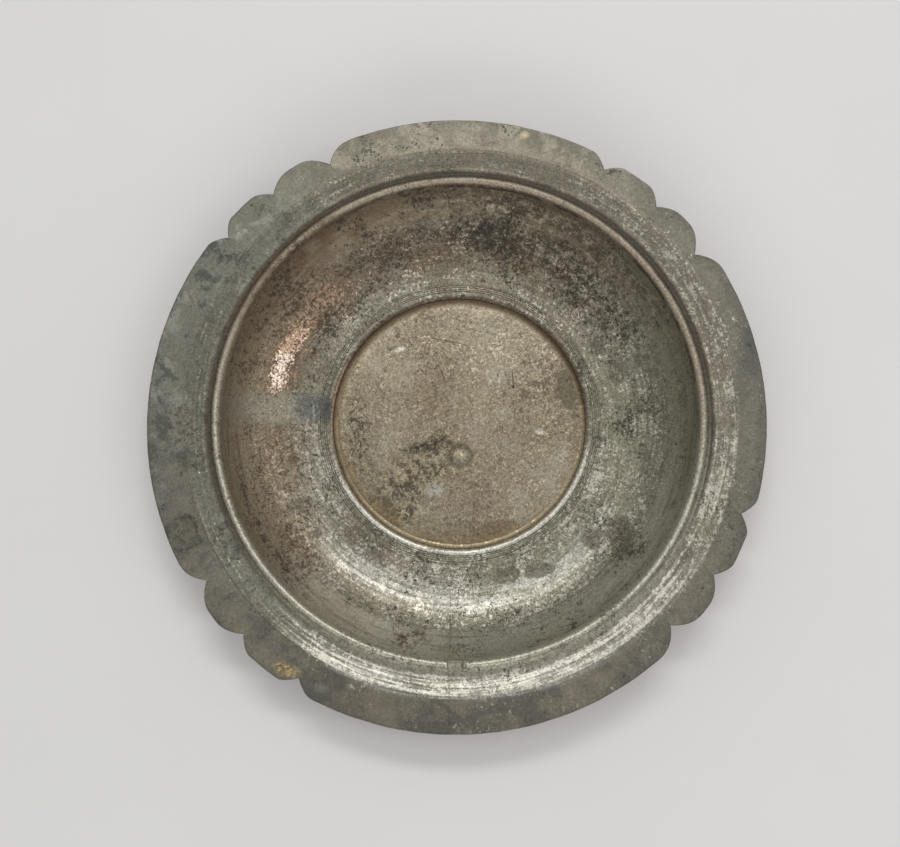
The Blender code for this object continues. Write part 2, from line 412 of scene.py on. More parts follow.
def rim_angles():
    """Angles round the rim from the seam, closer at every notch and shoulder."""
    angles = list(np.arange(0, 360, 0.6))
    for group in NOTCH_GROUPS:
        for notch in group:
            angles = [a for a in angles if not -1.2 < (a - notch + 180) % 360 - 180 < 1.2]
            angles += [notch + side * step for step in NOTCH_STEPS for side in (-1, 1)]
            angles.append(notch)
    seam = math.degrees(side_angle(RIM_RADIUS, SEAM_X - RIM_CENTRE[0]))
    past = sorted((a - seam) % 360 for a in angles)
    return [seam + a for a in past if 0.8 < a < 359.2]


def flange_heights():
    """Radii and heights of the turned part: flat by the bead, a soft upslope, then flatter again."""
    radii = np.linspace(HOLE_RADIUS, TURNED_END, 160)
    heights = [0]
    for inner, outer in zip(radii, radii[1:]):
        middle = 0.5 * (inner + outer)
        tilt = smooth(middle, GROOVE_RADIUS, GROOVE_RADIUS + 3.6)
        tilt *= 1 - 0.86 * smooth(middle, SCRIBE_RADIUS - 1.7, TURNED_END)
        heights.append(heights[-1] + (outer - inner) * UPSLOPE * tilt)
    return radii, heights


def flange_line():
    """Top of the flange as (radius, share of the way to the outline, height)."""
    radii, heights = flange_heights()
    line = [(HOLE_RADIUS, 0, LEVEL)]
    for radius in np.linspace(GROOVE_RADIUS - 1.2, TURNED_END, 24):
        line.append((radius, 0, LEVEL + float(np.interp(radius, radii, heights))))
    crest = line[-1][2]
    edge = RIM_TOP - 0.05
    for i in range(1, 12):
        share = i / 12
        line.append((TURNED_END, share, crest + (edge - crest) * share))
    line.append((TURNED_END, 1, edge))
    return line


def flange_shift(x, y, radius):
    """The flange's own waviness, growing towards its edge, and the shallow worn patch."""
    out = smooth(radius, 103, 122)
    swell = out * (0.22 * ripple(x, y, 48, 2.3) + 0.1 * ripple(x, y, 15, 4.4))
    along, across = patch_place(x, y)
    reach = max(abs(along) / 5.6, abs(across) / 6) + 0.18 * ripple(x, y, 3, 9)
    worn = 1 - smooth(reach, 0.82, 1)
    return min(swell, 0.15) - 0.2 * worn + seam_lap(x, y, 0.07, 8) * smooth(radius, 101, 104)


def rim_point(radius, share, angle, outline, seam_x=None):
    """Blend from a turned circle to the outline about the rim's own centre."""
    turn = angle if seam_x is None else side_angle(radius, seam_x)
    x, y = radius * math.cos(turn), radius * math.sin(turn)
    if share == 0:
        return x, y
    turn = angle if seam_x is None else side_angle(outline, seam_x - RIM_CENTRE[0])
    ox = RIM_CENTRE[0] + outline * math.cos(turn)
    oy = RIM_CENTRE[1] + outline * math.sin(turn)
    return x + (ox - x) * share, y + (oy - y) * share


def flange_row(angle, outline, seam_x=None):
    top = flange_line()
    row = []
    for radius, share, height in top[:-1]:
        x, y = rim_point(radius, share, angle, outline, seam_x)
        row.append((x, y, height + flange_shift(x, y, math.hypot(x, y))))
    for inset, drop in EDGE_ROUNDING:
        x, y = rim_point(TURNED_END, 1, angle, outline - inset, seam_x)
        row.append((x, y, RIM_TOP - 0.05 - drop + flange_shift(x, y, 123)))
    for radius, share, height in top[-2::-3] + [top[0]]:
        x, y = rim_point(radius, share, angle, outline, seam_x)
        row.append((x, y, height - SHEET + flange_shift(x, y, math.hypot(x, y))))
    return row


def build_flange(top, under):
    rows = [flange_row(0, RIM_RADIUS, SEAM_X + SEAM_HALF)]
    for angle in rim_angles():
        cut = 0.16 * ripple(angle * 0.35, 0, 1, 7.7)
        cut += 0.05 * ripple(angle * 1.7, 3, 1, 1.3)
        rows.append(flange_row(math.radians(angle), rim_outline(angle) + min(cut, 0.05)))
    rows.append(flange_row(0, RIM_RADIUS, SEAM_X - SEAM_HALF))
    under_from = len(flange_line()) - 1 + 4
    return loft("scalloped_flange", rows, (top, under), under_from=under_from)


def build_flange_seam(material):
    """Solder run that fills the flange's seam, filed flush."""
    rows = []
    for side in (-1, -0.4, 0.4, 1):
        row = flange_row(0, RIM_RADIUS - 0.05, SEAM_X + side * (SEAM_HALF + 0.08))
        upper = len(flange_line()) - 1
        proud = seam_proud(side)
        rows.append([(x, y, z + (proud if i < upper else 0)) for i, (x, y, z) in enumerate(row)])
    return loft("flange_seam_filling", rows, (material,), flip=True)


def build_flange_solder(material):
    """Fillet of solder under the flange, outside the wall's lip."""
    inner = LIP_RADIUS - 0.15
    roof = FLANGE_UNDER + 0.03

    def section_at(c, s):
        run = 1.25 + 0.3 * ripple(c * 100, s * 100, 12, 5.5)
        middle = (inner + 0.35 * run, roof - 0.5 * run)
        return [(inner, roof), (inner, roof - run), middle, (inner + run, roof)]

    rows = ring_rows(SOLDER_STEPS, section_at)
    return loft("flange_solder_fillet", rows, (material,), closed=True, flip=True)


def bead_section(crown):
    """Half-round bead in its solder: radius offset and height above the flange's level."""
    drop = LEVEL - WALL_TOP
    outer = [(2.9, 0.005), (2.5, 0.05), (2.15, 0.15), (1.8, 0.34), (1.45, 0.62)]
    outer += [(1.1, 0.92), (0.75, 1.18), (0.4, 1.36), (0, 1.44)]
    inner = [(-0.4, 1.38), (-0.8, 1.2), (-1.15, 0.9), (-1.42, 0.5), (-1.58, 0.05)]
    section = [(2.9, -0.06)] + [(u, h * crown) for u, h in outer]
    section += [(u, h * crown - 0.35 * (1 - crown) * u * u / 2) for u, h in inner]
    section += [(-1.72, -0.75), (-1.88, -1.45), (-1.98, 0.15 - drop), (-2.15, -drop - 0.42)]
    return section + [(-1.9, -drop - 0.3), (-0.7, 0.6 - drop), (0.4, 0.75 - drop)]


def bead_angles():
    """Even steps round the ring, closer at the ends of the break."""
    ends = [side_angle(BEAD_RADIUS, x) for x in BEAD_BREAK]
    angles = [math.tau * i / BEAD_STEPS for i in range(BEAD_STEPS)]
    angles = [a for a in angles if all(abs(a - end) > 0.011 for end in ends)]
    for end in ends:
        angles += [end + 0.0011 * i for i in range(-9, 10)]
    return sorted(angles)


def build_bead(material):
    """Bead all round, broken at the seam: square at one end and ragged at the other."""
    rows = []
    left, right = BEAD_BREAK
    for angle in bead_angles():
        c, s = math.cos(angle), math.sin(angle)
        x, y = BEAD_RADIUS * c, BEAD_RADIUS * s
        drift = 0.14 * ripple(x, y, 26, 1.9) + 0.05 * ripple(x, y, 5, 3.3)
        crown = 0.97 + 0.1 * ripple(x, y, 11, 6.6) + 0.04 * ripple(x, y, 2.6, 4.1)
        crown *= 1 - 0.25 * math.exp(-((angle - math.radians(139)) / 0.04) ** 2)
        if y < 0:
            gap = smooth(x, left - 0.05, left + 0.2) * (1 - smooth(x, right - 0.5, right + 0.7))
            crown *= 1 - 0.97 * gap
        row = []
        for offset, height in bead_section(crown):
            sway = drift if abs(offset) < 1.3 and height > 0.3 else 0
            radius = BEAD_RADIUS + offset + sway
            row.append((radius * c, radius * s, LEVEL + height))
        rows.append(row)
    return loft("rim_bead", rows, (material,), closed=True)


# ---------------------------------------------------------------- material toolkit

class Wire:
    """One shader value that can be used in arithmetic."""

    def __init__(self, graph, socket):
        self.graph = graph
        self.socket = socket

    def __add__(self, other):
        return self.graph.maths("ADD", self, other)

    def __radd__(self, other):
        return self.graph.maths("ADD", other, self)

    def __sub__(self, other):
        return self.graph.maths("SUBTRACT", self, other)

    def __rsub__(self, other):
        return self.graph.maths("SUBTRACT", other, self)

    def __mul__(self, other):
        return self.graph.maths("MULTIPLY", self, other)

    def __truediv__(self, other):
        return self.graph.maths("DIVIDE", self, other)

    def power(self, other):
        return self.graph.maths("POWER", self, other)

    def size(self):
        return self.graph.maths("ABSOLUTE", self)

    def at_most(self, other):
        return self.graph.maths("MINIMUM", self, other)

    def at_least(self, other):
        return self.graph.maths("MAXIMUM", self, other)

    def rise(self, low, high):
        """0 below low, 1 above high, smooth between; falls if low is above high."""
        return self.graph.rise(self, low, high)


class Graph:
    """Node tree of one material in plate millimetres."""

    def __init__(self, name):
        self.material = bpy.data.materials.new(name)
        self.material.use_nodes = True
        self.tree = self.material.node_tree
        self.shader = self.tree.nodes["Principled BSDF"]
        coordinates = self.node("TexCoord", {}).outputs["Object"]
        self.place = self.tone(coordinates, 1000)
        split = self.node("SeparateXYZ", {0: self.place})
        self.x, self.y = (Wire(self, split.outputs[i]) for i in range(2))
        self.radius = (self.x * self.x + self.y * self.y + 0.01).power(0.5)
        self.cos = self.x / self.radius
        self.sin = self.y / self.radius

    def set(self, socket, value):
        if isinstance(value, Wire):
            self.tree.links.new(value.socket, socket)
        elif isinstance(value, bpy.types.NodeSocket):
            self.tree.links.new(value, socket)
        else:
            socket.default_value = value

    def node(self, kind, inputs, operation=None):
        """Add a node and set or link its inputs, given by name or number."""
        node = self.tree.nodes.new("ShaderNode" + kind)
        if operation:
            node.operation = operation
        for key, value in inputs.items():
            self.set(node.inputs[key], value)
        return node

    def maths(self, operation, a, b=None):
        inputs = {0: a} if b is None else {0: a, 1: b}
        return Wire(self, self.node("Math", inputs, operation).outputs[0])

    def rise(self, value, low, high):
        start, end = (1, 0) if low > high else (0, 1)
        ends = {"From Min": min(low, high), "From Max": max(low, high), "To Min": start, "To Max": end}
        node = self.node("MapRange", {"Value": value, **ends})
        node.interpolation_type = "SMOOTHSTEP"
        return Wire(self, node.outputs["Result"])

    def vector(self, x, y, z):
        return self.node("CombineXYZ", {0: x, 1: y, 2: z}).outputs[0]

    def grain(self, size, detail=3, rough=0.6, seed=0, place=None, warp=0):
        """Noise from 0 to 1 whose largest waves are size millimetres long."""
        node = self.tree.nodes.new("ShaderNodeTexNoise")
        node.noise_dimensions = "4D"
        inputs = {"Vector": self.place if place is None else place, "W": seed, "Scale": 1 / size}
        inputs.update({"Detail": detail, "Roughness": rough, "Distortion": warp})
        for key, value in inputs.items():
            self.set(node.inputs[key], value)
        return Wire(self, node.outputs["Fac"])

    def brushed(self, long, fine, seed=0, detail=3):
        """Streaks that run round the plate: long millimetres along, fine across."""
        stretch = 85 / long
        place = self.vector(self.cos * stretch, self.sin * stretch, self.radius / fine)
        return self.grain(1, detail, 0.55, seed, place)

    def facing(self, degrees):
        """1 towards this direction from the plate's middle, -1 away from it."""
        turn = math.radians(degrees)
        return self.cos * math.cos(turn) + self.sin * math.sin(turn)

    def sector(self, degrees, half, soft=12):
        """1 within half degrees of a direction, falling off over soft degrees."""
        near, far = math.cos(math.radians(half)), math.cos(math.radians(half + soft))
        return self.facing(degrees).rise(far, near)

    def spot(self, x, y, across, along=None, turn=0, soft=0.35, ragged=0, size=3, seed=0):
        """An oval patch of plate millimetres, with a ragged edge."""
        along = across if along is None else along
        c, s = math.cos(math.radians(turn)), math.sin(math.radians(turn))
        dx, dy = self.x - x, self.y - y
        u = (dx * c + dy * s) * (1 / across)
        v = (dy * c - dx * s) * (1 / along)
        reach = (u * u + v * v).power(0.5)
        if ragged:
            reach = reach + (self.grain(size, 4, 0.65, seed) - 0.5) * ragged
        return reach.rise(1 + soft, 1 - soft)

    def scratch(self, x0, y0, x1, y1, width):
        """A straight fine line between two points of the plate."""
        length = math.hypot(x1 - x0, y1 - y0)
        c, s = (x1 - x0) / length, (y1 - y0) / length
        dx, dy = self.x - x0, self.y - y0
        along = dx * c + dy * s
        off = (dy * c - dx * s).size()
        past = (along - length / 2).size() - length / 2
        return off.rise(width, width * 0.3) * past.rise(0.6, -0.6)

    def blend(self, a, b, factor):
        node = self.tree.nodes.new("ShaderNodeMix")
        node.data_type = "RGBA"
        self.set(node.inputs["Factor"], factor)
        for socket, value in ((node.inputs[6], a), (node.inputs[7], b)):
            if isinstance(value, tuple):
                socket.default_value = (*value, 1)
            else:
                self.set(socket, value)
        return node.outputs[2]

    def tone(self, colour, factor):
        """Multiply a colour or a place by a value."""
        return self.node("VectorMath", {0: colour, "Scale": factor}, "SCALE").outputs[0]

    def mix(self, a, b, factor):
        """Blend of two values."""
        return self.maths("ADD", a, self.maths("MULTIPLY", self.maths("SUBTRACT", b, a), factor))

    def finish(self, colour, roughness, metallic, height, depth, strength=1):
        """Connect the surface; height is turned into relief of depth millimetres."""
        bump = self.tree.nodes.new("ShaderNodeBump")
        bump.inputs["Distance"].default_value = depth * MM
        bump.inputs["Strength"].default_value = strength
        self.set(bump.inputs["Height"], height)
        self.tree.links.new(bump.outputs[0], self.shader.inputs["Normal"])
        self.set(self.shader.inputs["Base Color"], colour)
        self.set(self.shader.inputs["Roughness"], roughness)
        self.set(self.shader.inputs["Metallic"], metallic)
        return self.material


# ---------------------------------------------------------------- colours

# Tin, from clean to filmed over
TIN_BRIGHT = (0.62, 0.6, 0.54)
TIN_CLEAN = (0.56, 0.545, 0.485)
TIN_FLECK = (0.56, 0.534, 0.456)
TIN_RUBBED = (0.5, 0.49, 0.45)
# The next two are painted sheen: brighter tin laid where the key lamp's highlight falls
PAINTED_SHEEN_SMOOTH = (0.41, 0.405, 0.374)
PAINTED_SHEEN_BRUSHED = (0.385, 0.38, 0.352)
TIN_COOL = (0.3, 0.31, 0.3)
PALE_TIN = (0.36, 0.343, 0.27)
PALE_FLECK = (0.37, 0.336, 0.255)
FILM_LIGHT = (0.31, 0.288, 0.232)
FILM = (0.205, 0.186, 0.143)
FILM_DARK = (0.118, 0.102, 0.072)
SKIN = (0.153, 0.147, 0.119)
CREAM = (0.35, 0.305, 0.225)
SMEAR = (0.285, 0.264, 0.205)

# Bowl wall
BOWL_FILM = (0.222, 0.202, 0.151)
BOWL_OLIVE = (0.222, 0.218, 0.16)
WALL_TAN = (0.295, 0.246, 0.168)
# Painted light: paler colour for the lower side of the wall
WALL_LOWER_PAINTED_LIGHT = (0.53, 0.505, 0.395)
WALL_WARM = (0.385, 0.315, 0.22)
WEST_TAN = (0.29, 0.226, 0.146)
# The next two are painted shade and a painted highlight for the step beside the disc
STEP_SHADE_PAINTED = (0.125, 0.088, 0.055)
STEP_HIGHLIGHT_PAINTED = (0.45, 0.39, 0.28)

# Centre disc
DISC_FILM = (0.275, 0.234, 0.162)
DISC_PALE = (0.345, 0.318, 0.246)
DISC_SOFT = (0.3, 0.268, 0.198)
DISC_BROWN = (0.215, 0.168, 0.108)
DISC_FLECK = (0.46, 0.415, 0.315)
DISC_FIELD = (0.265, 0.225, 0.14)
DISC_STAIN = (0.172, 0.133, 0.08)
DISC_PATCH = (0.14, 0.121, 0.08)
DISC_DIRT = (0.11, 0.087, 0.054)
DISC_GOLD = (0.235, 0.175, 0.094)
DISC_EDGE_PALE = (0.4, 0.355, 0.255)
# Painted shade round the disc's edge
DISC_EDGE_SHADE = (0.15, 0.105, 0.06)
STRAW = (0.42, 0.355, 0.225)

# Flange
RIM_TOP_FILM = (0.176, 0.163, 0.127)
RIM_LOW_FILM = (0.195, 0.172, 0.134)
RIM_WARM = (0.256, 0.224, 0.171)
RIM_DARK = (0.129, 0.121, 0.091)
RIM_GREEN = (0.178, 0.184, 0.15)
RIM_GREEN_DARK = (0.07, 0.077, 0.064)
RIM_GREEN_LIGHT = (0.27, 0.272, 0.229)
# Painted shade in the groove beside the bead
GROOVE_SHADE = (0.088, 0.068, 0.046)
VERDIGRIS = (0.155, 0.185, 0.14)
BRASS = (0.34, 0.27, 0.135)
BRASS_BRIGHT = (0.74, 0.56, 0.27)

# Bead and spelter
BEAD_FILM = (0.33, 0.284, 0.202)
BEAD_DULL = (0.275, 0.252, 0.196)
BEAD_GREY = (0.385, 0.375, 0.3)
BEAD_CREST = (0.42, 0.375, 0.28)
BEAD_WARM = (0.4, 0.33, 0.245)
# The next two are painted highlights on the bead's lit inner side
BEAD_LIT_PAINTED = (0.51, 0.49, 0.39)
BEAD_HIGHLIGHT_PAINTED = (0.55, 0.535, 0.43)
SPELTER = (0.3, 0.235, 0.14)
SPELTER_DARK = (0.19, 0.138, 0.074)
SPELTER_FLECK = (0.56, 0.46, 0.28)

# Copper
COPPER = (0.4, 0.205, 0.13)
COPPER_SMOKED = (0.15, 0.078, 0.048)
COPPER_CLEAN = (0.56, 0.31, 0.2)
COPPER_STREAK = (0.26, 0.165, 0.115)
COPPER_FLECK = (0.8, 0.5, 0.36)
COPPER_GREEN = (0.12, 0.165, 0.12)
COPPER_HALO = (0.29, 0.185, 0.122)
COPPER_DULL = (0.44, 0.303, 0.212)
COPPER_WORN = (0.62, 0.395, 0.265)
COPPER_GLINT = (0.98, 0.8, 0.68)

# Tarnish and dirt, from brown to black
TARNISH = (0.19, 0.13, 0.08)
RUST = (0.185, 0.115, 0.07)
RUST_DARK = (0.105, 0.068, 0.043)
OLIVE = (0.128, 0.115, 0.08)
SLATE = (0.112, 0.12, 0.112)
SLATE_DARK = (0.102, 0.105, 0.093)
BROWN = (0.123, 0.081, 0.048)
UMBER = (0.072, 0.062, 0.043)
DIRT = (0.062, 0.049, 0.034)
DEEP_BROWN = (0.06, 0.042, 0.026)
SOOT = (0.046, 0.035, 0.023)
GREEN_SOOT = (0.047, 0.044, 0.033)
INK = (0.062, 0.072, 0.074)
PIT = (0.028, 0.023, 0.017)

FLOOR_GREY = (0.84, 0.83, 0.82)
FLOOR_PALE = (0.88, 0.87, 0.86)


# ---------------------------------------------------------------- metals

class Surface:
    """Layers of colour, roughness, metalness and relief laid over each other."""

    def __init__(self, name, colour, roughness, metallic, seed):
        self.g = Graph(name)
        self.colour = colour
        self.roughness = roughness
        self.metallic = metallic
        g = self.g
        self.fine = g.grain(0.75, 3, 0.8, seed)
        self.flecks = g.grain(1.5, 4, 0.82, seed + 0.1, warp=0.4)
        self.spots = g.grain(1.8, 4, 0.82, seed + 0.2, warp=0.4)
        self.patches = g.grain(9, 4, 0.62, seed + 0.3)
        self.clouds = g.grain(34, 3, 0.55, seed + 0.4)
        self.height = self.fine * 0.6

    def lay(self, mask, colour=None, roughness=None, metallic=None, height=None):
        g = self.g
        if colour is not None:
            self.colour = g.blend(self.colour, colour, mask)
        if roughness is not None:
            self.roughness = g.mix(self.roughness, roughness, mask)
        if metallic is not None:
            self.metallic = g.mix(self.metallic, metallic, mask)
        if height is not None:
            self.height = self.height + mask * height

    def uneven(self, sway, by=None):
        """Distance from the axis, swayed by noise so that a ring's edge is ragged."""
        return self.g.radius + ((by or self.patches) - 0.5) * sway

    def ring(self, middle, far, near, sway, by=None):
        """Ragged ring: 0 beyond far millimetres from the middle radius, 1 within near."""
        return (self.uneven(sway, by) - middle).size().rise(far, near)

    def stain(self, spot, strength, *look):
        """Lay an oval spot, given by the arguments of Graph.spot."""
        self.lay(self.g.spot(*spot) * strength, *look)

    def clean_flecks(self, amount, strength=0.9, colour=TIN_CLEAN, roughness=0.36):
        """Clustered bright flecks of rubbed tin; a higher amount covers more."""
        level = self.flecks + (self.patches - 0.5) * 0.55 + amount
        self.lay(level.rise(0.565, 0.625) * strength, colour, roughness, 1, 0.15)

    def dark_spots(self, amount, strength=0.8, colour=DEEP_BROWN):
        """Clustered branching pits; a higher amount covers more."""
        level = self.spots - (self.patches - 0.5) * 0.35 + (self.clouds - 0.5) * 0.5 + amount
        self.lay(level.rise(0.565, 0.62) * strength, colour, 0.66, 0.4, -0.6)

    def pits(self, seeds, amount, strength):
        """Clustered black pinholes; a higher amount covers more."""
        small, wide = seeds
        clusters = (self.g.grain(17, 3, 0.6, wide) - 0.5) * 0.6
        level = self.g.grain(1.1, 4, 0.8, small) + clusters + amount
        self.lay(level.rise(0.6, 0.65) * strength, PIT, 0.7, 0.3, -0.8)

    def grit(self, fine=2.6, coarse=1.2, where=1):
        """Vary the tone at the smallest scales."""
        swing = (self.fine - 0.5) * fine + (self.flecks - 0.5) * coarse
        tone = (swing * where + 1).at_least(0.25)
        self.colour = self.g.tone(self.colour, tone)

    def done(self, relief, depth=0.06):
        """Add the last relief and connect everything."""
        height = self.height + relief
        return self.g.finish(self.colour, self.roughness, self.metallic, height, depth)


def bowl_material():
    s = Surface("tinned_bowl", BOWL_FILM, 0.4, 0.9, 1)
    g = s.g
    streaks = g.brushed(22, 1.3, 5)
    hair = g.brushed(14, 0.7, 5.5, 3)
    mottle = g.grain(3, 5, 0.82, 6.5, warp=0.5)
    lower = g.facing(275).rise(-0.3, 0.9)
    r = g.radius
    wall = s.uneven(7).rise(84.5, 91)
    ledge = r.rise(68, 60)
    # Film: lighter and darker clouds, tan on the steep wall, its lower side made pale with painted light
    s.lay(s.clouds.rise(0.5, 0.66) * 0.6, FILM_LIGHT, 0.36)
    s.lay(s.clouds.rise(0.48, 0.34) * 0.6, FILM_DARK, 0.48)
    s.lay(wall * 0.85, WALL_TAN, 0.5, 0.6)
    # Painted light: the lower side of the wall paler, as if lit
    s.lay(wall * lower * 0.85, WALL_LOWER_PAINTED_LIGHT, 0.5, 0.45)
    s.lay(wall * g.sector(180, 50, 30) * 0.5, WALL_WARM, 0.5, 0.6)
    s.lay(wall * (s.patches + s.spots * 0.3).rise(0.74, 0.84) * 0.6, DEEP_BROWN, 0.55, 0.6)
    # Brown tarnish over the upper left and the left
    upper = g.sector(112, 42, 46)
    upper_left = upper * s.uneven(30).rise(62, 76)
    s.lay(upper_left * (s.patches * 1.2 + s.fine * 0.4).rise(0.45, 0.95) * 0.85, TARNISH, 0.5, 0.75)
    west = g.sector(182, 26, 24) * s.uneven(20, s.clouds).rise(70, 84)
    s.lay(west * 0.75, WEST_TAN, 0.46, 0.8)
    cream = s.ring(85.5, 5.5, 1.5, 6) * g.sector(125, 42, 24)
    s.lay(cream * 0.4, WALL_TAN, 0.44, 0.85)
    s.lay(cream * mottle.rise(0.48, 0.57) * 0.7, CREAM, 0.42, 0.9)
    # Black and brown mottling over the upper right, with cream tin between
    right = g.sector(42, 42, 30) * s.uneven(26, s.clouds).rise(64, 78)
    s.lay(right * 0.4, OLIVE, 0.5, 0.75)
    arc = s.ring(81, 8.5, 2.5, 14, s.clouds)
    s.lay(right * (mottle + arc * 0.075 - 0.06).rise(0.53, 0.555) * 0.85, SOOT, 0.6, 0.5, -0.6)
    s.lay(right * (mottle - arc * 0.02 + 0.01).rise(0.475, 0.45) * 0.7, PALE_FLECK, 0.42, 0.95)
    low_arc = s.ring(93, 3, 1, 4) * g.sector(35, 42, 12)
    s.lay(low_arc * (mottle + 0.02).rise(0.5, 0.54) * 0.7, UMBER, 0.56, 0.6)
    s.lay((1 - right) * (mottle + (s.clouds - 0.5) * 0.4).rise(0.6, 0.64) * 0.45, FILM_DARK, 0.5)
    s.lay(g.sector(325, 46, 30) * 0.6, BOWL_OLIVE, 0.42)
    # Streaks left by turning
    s.lay(streaks.rise(0.54, 0.66) * 0.4, FILM_LIGHT, 0.34)
    s.lay(streaks.rise(0.46, 0.34) * 0.4, FILM_DARK, 0.46)
    s.lay(hair.rise(0.46, 0.36) * 0.25, FILM_DARK, 0.46)
    # Painted sheen: brighter, smoother tin low in the bowl, in the band where the key lamp's highlight
    # falls
    painted_sheen = g.sector(273, 30, 36) * ((r - 73.8).size() + (s.patches - 0.5) * 11).rise(8, 1.5)
    sheen_streaks = (0.42 + (streaks - 0.5) * 1.6 + (mottle - 0.5) * 2.6).at_most(0.95).at_least(0)
    s.lay(painted_sheen * sheen_streaks, PAINTED_SHEEN_SMOOTH, 0.25, 1)
    # Rubbed tin, brown dirt and black pits
    rubbed = lower * 0.04 + ledge * 0.02 - wall * 0.14 - upper_left * 0.02 - 0.015
    rubbed = rubbed + (streaks - 0.5) * 0.25 - west * 0.01
    fleck_strength = 0.62 - g.sector(325, 40, 30) * 0.15 - g.sector(195, 40, 30) * 0.24
    s.clean_flecks(rubbed, fleck_strength, TIN_FLECK)
    pitted = right * 0.02 + upper_left * 0.05 - ledge * 0.05 - wall * 0.02 - painted_sheen * 0.02
    s.dark_spots(pitted - g.sector(320, 40, 30) * 0.03 - 0.01)
    s.pits((6, 8), right * 0.02, 0.75)
    # Smooth grey skins of film with crisp edges
    skins = (g.grain(9, 5, 0.6, 9.9, warp=0.6) - wall * 0.1).rise(0.63, 0.66)
    s.lay(skins * 0.45, SKIN, 0.45, 0.7, 0.3)
    # Copper laid bare by wear, in a streak that follows the wall
    halo = s.ring(79, 10, 3, 8) * g.sector(150, 15, 10)
    s.lay(halo * (s.flecks * 1.4).rise(0.62, 0.8) * 0.65, COPPER_HALO, 0.46, 0.85)
    worn = s.ring(78.4, 6, 0.5, 7) * g.sector(159, 7.5, 7)
    rub = (s.flecks + worn * 0.19).rise(0.58, 0.66) * worn.rise(0.05, 0.4)
    s.lay(rub * 0.85, COPPER_WORN, 0.36, 1)
    glint = worn * g.sector(164.5, 3.5, 4)
    s.lay(rub * (s.fine + worn * 0.03 + glint * 0.08).rise(0.55, 0.62) * 0.9, COPPER_GLINT, 0.28, 1)
    trail = s.ring(78.5, 6, 1, 6) * g.sector(145, 8, 8)
    s.lay((s.flecks + trail * 0.12).rise(0.58, 0.64) * trail.rise(0.1, 0.6) * 0.6, COPPER_DULL, 0.4, 1)
    low_brown = g.spot(-74, -14, 6.5, 14, 8, 0.8, 1, 6, 9.7)
    s.lay(low_brown * (s.spots + 0.05).rise(0.5, 0.57) * 0.75, RUST, 0.52, 0.7)
    low_black = g.spot(-67.5, -53, 8, 11, 38, 0.8, 1, 6, 9.8)
    s.lay(low_black * (s.spots + 0.04).rise(0.5, 0.57) * 0.8, RUST_DARK, 0.54, 0.6)
    marks = s.ring(93, 1.6, 0.7, 4) * g.sector(208, 14, 6)
    s.lay(marks * mottle.rise(0.5, 0.54) * 0.75, DIRT, 0.58, 0.5, -0.5)
    # Tin smear that runs outwards on the left, with a dark end
    smear = g.spot(-78, 6, 20, 6.5, 2, 0.6, 0.6, 7, 10)
    s.lay(smear * 0.75, SMEAR, 0.42, 0.85)
    s.stain((-61, 6, 9, 6.4, 0, 0.4, 1.3, 3.4, 11), 0.75, SLATE, 0.46, 0.75)
    s.stain((-55.5, 5.5, 2.6, 5, 10, 0.5, 1.3, 2.4, 12), 0.7, INK, 0.5, 0.5)
    s.stain((-61.5, 4, 0.6, 3, 4, 0.4, 0.9, 2, 12.5), 0.7, TIN_COOL, 0.38, 1)
    # Dull stains near the bottom, the lower right and the right
    stains = (
        (20, -64, 6, 3.5, 13.5), (66, -48, 5.2, 8.5, 14),
        (56, -49, 6, 4, 14.5), (33, -62, 7, 3, 15), (66, 21, 3.4, 5.5, 15.5),
        (58, 31, 3, 4, 15.7), (-67, -35.5, 4.6, 3.6, 17), (-59, -47, 2.4, 2, 17.5),
    )
    for x, y, w, h, seed in stains:
        stain = g.spot(x, y, w, h, 15, 0.16, 1.5, 5, seed) * mottle.rise(0.4, 0.47)
        s.lay(stain * 0.7, FILM_DARK, 0.48, 0.7)
    dirt = g.spot(-20, -89.5, 7.5, 3.4, 4, 0.5, 1.3, 5, 13) * mottle.rise(0.44, 0.52)
    s.lay(dirt * 0.85, RUST_DARK, 0.52, 0.6, -0.3)
    black = g.spot(72.5, -54.5, 4.5, 2.2, 40, 0.2, 1.4, 3, 15.9) * s.spots.rise(0.46, 0.52)
    s.lay(black * 0.8, GREEN_SOOT, 0.58, 0.5, -0.4)
    # The rounded step has painted shade above and a painted highlight below, with fine turned rings
    foot = s.uneven(2, s.flecks).rise(55.4, 53.6)
    s.lay(foot * (0.9 - lower * 0.85), STEP_SHADE_PAINTED, 0.56, 0.6)
    s.lay(foot * lower * 0.8, STEP_HIGHLIGHT_PAINTED, 0.42, 0.6)
    copper_line = (r - 53.9).size().rise(0.6, 0.15) * g.sector(172, 14, 12)
    s.lay(copper_line * 0.8, COPPER_DULL, 0.42, 0.95)
    # Clean tin on the ledge's shoulder; the extra tin towards the lower side is a painted highlight
    shoulder = (r - 55).size().rise(1.3, 0.2) * (s.flecks * 0.5 + lower * 0.5).rise(0.4, 0.6)
    s.lay(shoulder * 0.75, TIN_CLEAN, 0.32, 1)
    wave = g.maths("SINE", r * 7.4 + (s.clouds - 0.5) * 3) * 0.5 + 0.5
    s.lay((r.rise(55.4, 56) - r.rise(59.4, 60.4)) * wave * 0.6, FILM_DARK, 0.5)
    # Seam, filed flush, with short cracks beside it
    seam = (g.x - SEAM_LINE + (g.grain(5, 2, 0.5, 16) - 0.5) * 0.9).size().rise(0.5, 0.1)
    s.lay(seam * g.y.rise(-66, -72) * (s.spots * 1.4).rise(0.5, 0.9) * 0.5, DEEP_BROWN, 0.58, 0.5, -0.5)
    for x0, y0, x1, y1 in ((3.6, -71, 5.6, -68.2), (5.6, -68.2, 5.9, -73), (-1.6, -94.5, 0.8, -96.6)):
        s.lay(g.scratch(x0, y0, x1, y1, 0.24) * 0.7, BROWN, 0.6, 0.4, -0.8)
    s.grit(2.6, 1.4, 1 - wall * 0.45 - painted_sheen * 0.3)
    return s.done(s.flecks * 0.5 + streaks * 0.5)


